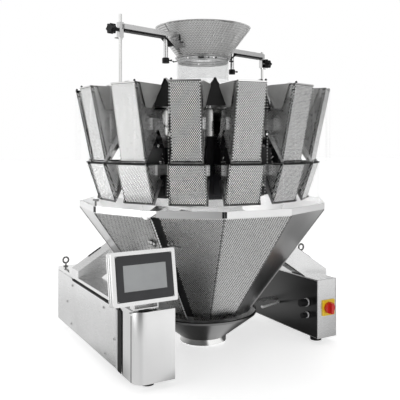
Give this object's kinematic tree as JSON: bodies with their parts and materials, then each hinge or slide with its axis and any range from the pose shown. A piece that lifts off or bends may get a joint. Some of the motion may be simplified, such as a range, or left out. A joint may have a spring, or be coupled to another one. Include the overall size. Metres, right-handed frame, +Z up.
{
  "type": "multihead weigher",
  "caption": "Ring of feed hoppers and weigh hoppers with hinged gates over a faceted collecting chute, on two floor cabinets with a display.",
  "frame": {"origin": "floor level under the centre of the product outlet", "axes": "+Z up, -Y towards the display end, +X towards the cabinet with the isolator"},
  "size_m": [1.0817, 1.062, 1.332],
  "materials": {
    "dimple_steel": "dimpled stainless sheet",
    "brushed_steel": "satin stainless sheet",
    "polished_steel": "polished stainless",
    "black_metal": "satin black",
    "clear_acrylic": "clear acrylic",
    "black_plastic": "moulded",
    "black_rubber": "moulded rubber",
    "dark_screen": "dark bezel with grey screen",
    "yellow_plastic": "moulded",
    "red_plastic": "moulded"
  },
  "bodies": {
    "machine": {"feed_hopper_fronts": "dimple_steel", "feed_hopper_sides": "dimple_steel", "weigh_hopper_fronts": "dimple_steel", "weigh_hopper_sides": "dimple_steel", "hopper_backs": "dimple_steel", "hopper_hangers": "brushed_steel", "drive_units": "black_metal", "drum": "black_metal", "vibrator_housing": "polished_steel", "feeder_pans": "dimple_steel", "dispersion_cone": "dimple_steel", "funnel_posts": "polished_steel", "support_legs": "brushed_steel", "center_core": "brushed_steel", "feet": "black_rubber", "eye_bolts": "polished_steel", "left_cabinet": "brushed_steel", "left_cabinet_cover": "brushed_steel", "right_cabinet": "brushed_steel", "switch_plate": "yellow_plastic", "cable_sockets": "black_plastic", "discharge_funnel": "brushed_steel", "outlet_collar": "polished_steel", "chute_brackets": "brushed_steel", "chute_panels": "dimple_steel"},
    "infeed": {"infeed_funnel": "dimple_steel", "infeed_ring": "clear_acrylic", "funnel_arms": "brushed_steel", "clamp_knobs": "black_plastic"},
    "isolator_knob": {"switch_knob": "red_plastic"},
    "display": {"display_housing": "brushed_steel", "display_screen": "dark_screen"},
    "feed_gate_01": {"feed_gate_01": "brushed_steel"},
    "feed_gate_02": {"feed_gate_02": "brushed_steel"},
    "feed_gate_03": {"feed_gate_03": "brushed_steel"},
    "feed_gate_04": {"feed_gate_04": "brushed_steel"},
    "feed_gate_05": {"feed_gate_05": "brushed_steel"},
    "feed_gate_06": {"feed_gate_06": "brushed_steel"},
    "feed_gate_07": {"feed_gate_07": "brushed_steel"},
    "feed_gate_08": {"feed_gate_08": "brushed_steel"},
    "feed_gate_09": {"feed_gate_09": "brushed_steel"},
    "feed_gate_10": {"feed_gate_10": "brushed_steel"},
    "feed_gate_11": {"feed_gate_11": "brushed_steel"},
    "feed_gate_12": {"feed_gate_12": "brushed_steel"},
    "feed_gate_13": {"feed_gate_13": "brushed_steel"},
    "feed_gate_14": {"feed_gate_14": "brushed_steel"},
    "weigh_gate_01": {"weigh_gate_01": "brushed_steel"},
    "weigh_gate_02": {"weigh_gate_02": "brushed_steel"},
    "weigh_gate_03": {"weigh_gate_03": "brushed_steel"},
    "weigh_gate_04": {"weigh_gate_04": "brushed_steel"},
    "weigh_gate_05": {"weigh_gate_05": "brushed_steel"},
    "weigh_gate_06": {"weigh_gate_06": "brushed_steel"},
    "weigh_gate_07": {"weigh_gate_07": "brushed_steel"},
    "weigh_gate_08": {"weigh_gate_08": "brushed_steel"},
    "weigh_gate_09": {"weigh_gate_09": "brushed_steel"},
    "weigh_gate_10": {"weigh_gate_10": "brushed_steel"},
    "weigh_gate_11": {"weigh_gate_11": "brushed_steel"},
    "weigh_gate_12": {"weigh_gate_12": "brushed_steel"},
    "weigh_gate_13": {"weigh_gate_13": "brushed_steel"},
    "weigh_gate_14": {"weigh_gate_14": "brushed_steel"}
  },
  "joints": [
    {"name": "infeed_height", "type": "slide", "parent": "machine", "child": "infeed", "axis": [0, 0, 1], "range_m": [-0.035, 0.02]},
    {"name": "isolator_turn", "type": "hinge", "parent": "machine", "child": "isolator_knob", "pos_m": [0.434, -0.302, 0.152], "axis": [0, 1, 0], "range_deg": [0, 90]},
    {"name": "display_swivel", "type": "hinge", "parent": "machine", "child": "display", "pos_m": [-0.4315, -0.353, 0.271], "axis": [0, 0, 1], "range_deg": [-40, 0]},
    {"name": "feed_gate_01_hinge", "type": "hinge", "parent": "machine", "child": "feed_gate_01", "pos_m": [0.10797, -0.4036, 0.86969], "axis": [0.966, 0.2584, 0], "range_deg": [0, 50], "stiffness_Nm_per_rad": 0.3, "springref_deg": -34.38},
    {"name": "feed_gate_02_hinge", "type": "hinge", "parent": "machine", "child": "feed_gate_02", "pos_m": [0.27239, -0.31678, 0.86969], "axis": [0.7582, 0.652, 0], "range_deg": [0, 50], "stiffness_Nm_per_rad": 0.3, "springref_deg": -34.38},
    {"name": "feed_gate_03_hinge", "type": "hinge", "parent": "machine", "child": "feed_gate_03", "pos_m": [0.38287, -0.16722, 0.86969], "axis": [0.4003, 0.9164, 0], "range_deg": [0, 50], "stiffness_Nm_per_rad": 0.3, "springref_deg": -34.38},
    {"name": "feed_gate_04_hinge", "type": "hinge", "parent": "machine", "child": "feed_gate_04", "pos_m": [0.41751, 0.01545, 0.86969], "axis": [-0.037, 0.9993, 0], "range_deg": [0, 50], "stiffness_Nm_per_rad": 0.3, "springref_deg": -34.38},
    {"name": "feed_gate_05_hinge", "type": "hinge", "parent": "machine", "child": "feed_gate_05", "pos_m": [0.36945, 0.19507, 0.86969], "axis": [-0.4669, 0.8843, 0], "range_deg": [0, 50], "stiffness_Nm_per_rad": 0.3, "springref_deg": -34.38},
    {"name": "feed_gate_06_hinge", "type": "hinge", "parent": "machine", "child": "feed_gate_06", "pos_m": [0.24823, 0.33605, 0.86969], "axis": [-0.8044, 0.5941, 0], "range_deg": [0, 50], "stiffness_Nm_per_rad": 0.3, "springref_deg": -34.38},
    {"name": "feed_gate_07_hinge", "type": "hinge", "parent": "machine", "child": "feed_gate_07", "pos_m": [0.07784, 0.41048, 0.86969], "axis": [-0.9825, 0.1863, 0], "range_deg": [0, 50], "stiffness_Nm_per_rad": 0.3, "springref_deg": -34.38},
    {"name": "feed_gate_08_hinge", "type": "hinge", "parent": "machine", "child": "feed_gate_08", "pos_m": [-0.10797, 0.4036, 0.86969], "axis": [-0.966, -0.2584, 0], "range_deg": [0, 50], "stiffness_Nm_per_rad": 0.3, "springref_deg": -34.38},
    {"name": "feed_gate_09_hinge", "type": "hinge", "parent": "machine", "child": "feed_gate_09", "pos_m": [-0.27239, 0.31678, 0.86969], "axis": [-0.7582, -0.652, 0], "range_deg": [0, 50], "stiffness_Nm_per_rad": 0.3, "springref_deg": -34.38},
    {"name": "feed_gate_10_hinge", "type": "hinge", "parent": "machine", "child": "feed_gate_10", "pos_m": [-0.38287, 0.16722, 0.86969], "axis": [-0.4003, -0.9164, 0], "range_deg": [0, 50], "stiffness_Nm_per_rad": 0.3, "springref_deg": -34.38},
    {"name": "feed_gate_11_hinge", "type": "hinge", "parent": "machine", "child": "feed_gate_11", "pos_m": [-0.41751, -0.01545, 0.86969], "axis": [0.037, -0.9993, 0], "range_deg": [0, 50], "stiffness_Nm_per_rad": 0.3, "springref_deg": -34.38},
    {"name": "feed_gate_12_hinge", "type": "hinge", "parent": "machine", "child": "feed_gate_12", "pos_m": [-0.36945, -0.19507, 0.86969], "axis": [0.4669, -0.8843, 0], "range_deg": [0, 50], "stiffness_Nm_per_rad": 0.3, "springref_deg": -34.38},
    {"name": "feed_gate_13_hinge", "type": "hinge", "parent": "machine", "child": "feed_gate_13", "pos_m": [-0.24823, -0.33605, 0.86969], "axis": [0.8044, -0.5941, 0], "range_deg": [0, 50], "stiffness_Nm_per_rad": 0.3, "springref_deg": -34.38},
    {"name": "feed_gate_14_hinge", "type": "hinge", "parent": "machine", "child": "feed_gate_14", "pos_m": [-0.07784, -0.41048, 0.86969], "axis": [0.9825, -0.1863, 0], "range_deg": [0, 50], "stiffness_Nm_per_rad": 0.3, "springref_deg": -34.38},
    {"name": "weigh_gate_01_hinge", "type": "hinge", "parent": "machine", "child": "weigh_gate_01", "pos_m": [0.10454, -0.39077, 0.69839], "axis": [0.966, 0.2584, 0], "range_deg": [0, 50], "stiffness_Nm_per_rad": 0.3, "springref_deg": -34.38},
    {"name": "weigh_gate_02_hinge", "type": "hinge", "parent": "machine", "child": "weigh_gate_02", "pos_m": [0.26373, -0.30671, 0.69839], "axis": [0.7582, 0.652, 0], "range_deg": [0, 50], "stiffness_Nm_per_rad": 0.3, "springref_deg": -34.38},
    {"name": "weigh_gate_03_hinge", "type": "hinge", "parent": "machine", "child": "weigh_gate_03", "pos_m": [0.37069, -0.16191, 0.69839], "axis": [0.4003, 0.9164, 0], "range_deg": [0, 50], "stiffness_Nm_per_rad": 0.3, "springref_deg": -34.38},
    {"name": "weigh_gate_04_hinge", "type": "hinge", "parent": "machine", "child": "weigh_gate_04", "pos_m": [0.40423, 0.01496, 0.69839], "axis": [-0.037, 0.9993, 0], "range_deg": [0, 50], "stiffness_Nm_per_rad": 0.3, "springref_deg": -34.38},
    {"name": "weigh_gate_05_hinge", "type": "hinge", "parent": "machine", "child": "weigh_gate_05", "pos_m": [0.35771, 0.18887, 0.69839], "axis": [-0.4669, 0.8843, 0], "range_deg": [0, 50], "stiffness_Nm_per_rad": 0.3, "springref_deg": -34.38},
    {"name": "weigh_gate_06_hinge", "type": "hinge", "parent": "machine", "child": "weigh_gate_06", "pos_m": [0.24034, 0.32537, 0.69839], "axis": [-0.8044, 0.5941, 0], "range_deg": [0, 50], "stiffness_Nm_per_rad": 0.3, "springref_deg": -34.38},
    {"name": "weigh_gate_07_hinge", "type": "hinge", "parent": "machine", "child": "weigh_gate_07", "pos_m": [0.07536, 0.39743, 0.69839], "axis": [-0.9825, 0.1863, 0], "range_deg": [0, 50], "stiffness_Nm_per_rad": 0.3, "springref_deg": -34.38},
    {"name": "weigh_gate_08_hinge", "type": "hinge", "parent": "machine", "child": "weigh_gate_08", "pos_m": [-0.10454, 0.39077, 0.69839], "axis": [-0.966, -0.2584, 0], "range_deg": [0, 50], "stiffness_Nm_per_rad": 0.3, "springref_deg": -34.38},
    {"name": "weigh_gate_09_hinge", "type": "hinge", "parent": "machine", "child": "weigh_gate_09", "pos_m": [-0.26373, 0.30671, 0.69839], "axis": [-0.7582, -0.652, 0], "range_deg": [0, 50], "stiffness_Nm_per_rad": 0.3, "springref_deg": -34.38},
    {"name": "weigh_gate_10_hinge", "type": "hinge", "parent": "machine", "child": "weigh_gate_10", "pos_m": [-0.37069, 0.16191, 0.69839], "axis": [-0.4003, -0.9164, 0], "range_deg": [0, 50], "stiffness_Nm_per_rad": 0.3, "springref_deg": -34.38},
    {"name": "weigh_gate_11_hinge", "type": "hinge", "parent": "machine", "child": "weigh_gate_11", "pos_m": [-0.40423, -0.01496, 0.69839], "axis": [0.037, -0.9993, 0], "range_deg": [0, 50], "stiffness_Nm_per_rad": 0.3, "springref_deg": -34.38},
    {"name": "weigh_gate_12_hinge", "type": "hinge", "parent": "machine", "child": "weigh_gate_12", "pos_m": [-0.35771, -0.18887, 0.69839], "axis": [0.4669, -0.8843, 0], "range_deg": [0, 50], "stiffness_Nm_per_rad": 0.3, "springref_deg": -34.38},
    {"name": "weigh_gate_13_hinge", "type": "hinge", "parent": "machine", "child": "weigh_gate_13", "pos_m": [-0.24034, -0.32537, 0.69839], "axis": [0.8044, -0.5941, 0], "range_deg": [0, 50], "stiffness_Nm_per_rad": 0.3, "springref_deg": -34.38},
    {"name": "weigh_gate_14_hinge", "type": "hinge", "parent": "machine", "child": "weigh_gate_14", "pos_m": [-0.07536, -0.39743, 0.69839], "axis": [0.9825, -0.1863, 0], "range_deg": [0, 50], "stiffness_Nm_per_rad": 0.3, "springref_deg": -34.38}
  ]
}
